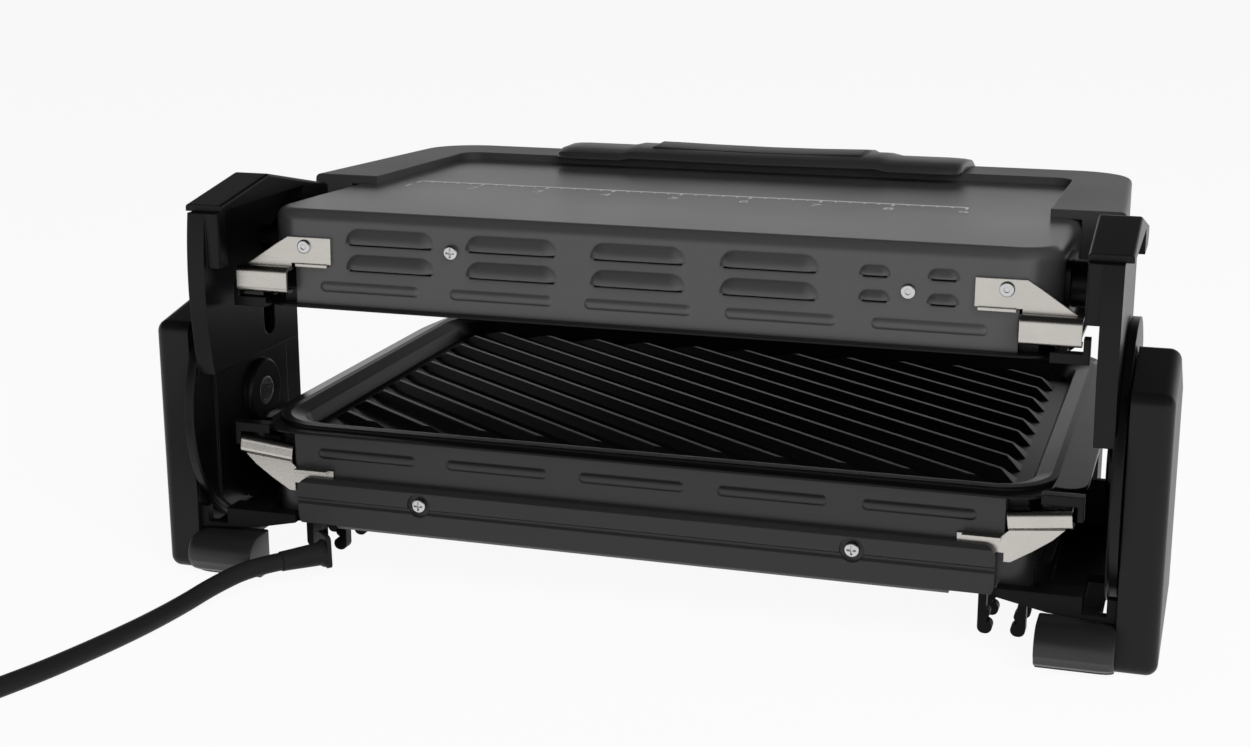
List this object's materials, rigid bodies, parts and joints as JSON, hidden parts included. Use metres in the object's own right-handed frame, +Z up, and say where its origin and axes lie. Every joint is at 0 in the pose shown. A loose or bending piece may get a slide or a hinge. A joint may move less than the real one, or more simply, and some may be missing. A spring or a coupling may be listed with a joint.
{
  "type": "contact grill",
  "caption": "Electric contact grill with ribbed upper and lower plates, a floating louvred metal lid on hinged arms, side cheeks, drip tray and a coiled mains cord",
  "frame": {"origin": "On the table surface, in the middle of the grill's outer box without its cord", "axes": "+Z is up, -Y is the front where the handle is, +Y is the rear with the hinge brackets, +X is the user's right"},
  "size_m": [0.509, 0.5043, 0.1635],
  "materials": {
    "black_plastic": "fine matte texture",
    "frame_plastic": "matte",
    "bar_plastic": "satin",
    "grey_plastic": "fine matte texture",
    "handle_plastic": "fine matte texture",
    "pad_plastic": "satin",
    "painted_sheet": "satin heat-proof paint",
    "plate_coating": "semi-gloss non-stick coating on a casting",
    "plated_steel": "nickel plated, slightly warm",
    "screw_steel": "blackened steel",
    "bright_steel": "bright steel",
    "heater_steel": "oxidised steel",
    "reflector_sheet": "rolled sheet",
    "ceramic": "unglazed",
    "lamp_red": "clear tinted",
    "rubber_pads": "matte",
    "cord_rubber": "satin",
    "plug_plastic": "satin",
    "pin_brass": "nickel plated"
  },
  "bodies": {
    "base": {"base_frame": "frame_plastic", "side_cheek_right": "black_plastic", "side_cheek_left": "black_plastic", "foot_pads": "rubber_pads", "rear_foot_right": "black_plastic", "rear_foot_left": "black_plastic", "lower_housing": "painted_sheet", "rear_bar": "bar_plastic", "rear_bar_screws": "screw_steel", "lower_plate": "plate_coating", "lower_bracket_right": "plated_steel", "lower_bracket_left": "plated_steel", "lower_heater": "heater_steel", "lower_reflector": "reflector_sheet", "thermostat": "ceramic", "terminal_block": "ceramic", "front_panel": "grey_plastic", "pilot_lamps": "lamp_red", "cord_outlet": "black_plastic", "strain_relief": "cord_rubber", "cord_clips_left": "frame_plastic", "cord_clips_right": "frame_plastic", "power_cord": "cord_rubber", "cord_coil": "cord_rubber", "plug_body": "plug_plastic", "plug_pins": "pin_brass"},
    "arms": {"arm_right": "black_plastic", "arm_left": "black_plastic", "arm_cap_right": "black_plastic", "arm_cap_left": "black_plastic", "hub_pin_right": "bright_steel", "hub_pin_left": "bright_steel", "hub_clips": "screw_steel"},
    "lid_carriage": {"slide_block_right": "bright_steel", "slide_block_left": "bright_steel"},
    "lid": {"lid_shell": "painted_sheet", "lid_rivets": "bright_steel", "lid_screw": "screw_steel", "lid_hinge_plate_right": "plated_steel", "lid_hinge_plate_left": "plated_steel", "lid_rail": "grey_plastic", "handle": "handle_plastic", "handle_pad": "pad_plastic", "upper_plate": "plate_coating", "upper_heater": "heater_steel", "upper_reflector": "reflector_sheet", "upper_bracket_right": "plated_steel", "upper_bracket_left": "plated_steel"},
    "knob": {"thermostat_knob": "black_plastic"},
    "lower_release": {"lower_release_button": "handle_plastic"},
    "upper_release": {"upper_release_button": "handle_plastic"},
    "tray": {"drip_tray": "black_plastic"}
  },
  "joints": [
    {"name": "lid_opening", "type": "hinge", "parent": "base", "child": "arms", "pos_m": [0, 0.0785, 0.0675], "axis": [-1, 0, 0], "range_deg": [0, 80]},
    {"name": "lid_height", "type": "slide", "parent": "arms", "child": "lid_carriage", "axis": [0, 0, 1], "range_m": [-0.038, 0]},
    {"name": "lid_float", "type": "hinge", "parent": "lid_carriage", "child": "lid", "pos_m": [0, 0.0785, 0.136], "axis": [-1, 0, 0], "range_deg": [0, 5]},
    {"name": "thermostat_turn", "type": "hinge", "parent": "base", "child": "knob", "pos_m": [0.112, -0.116, 0.043], "axis": [0, 1, 0], "range_deg": [0, 270]},
    {"name": "lower_release_push", "type": "slide", "parent": "base", "child": "lower_release", "axis": [0, 1, 0], "range_m": [0, 0.003], "stiffness_N_per_m": 500, "springref_m": -0.001},
    {"name": "upper_release_push", "type": "slide", "parent": "lid", "child": "upper_release", "axis": [0, 1, 0], "range_m": [0, 0.003], "stiffness_N_per_m": 500, "springref_m": -0.001},
    {"name": "drip_tray_slide", "type": "slide", "parent": "base", "child": "tray", "axis": [0, -1, 0], "range_m": [0, 0.07]}
  ]
}
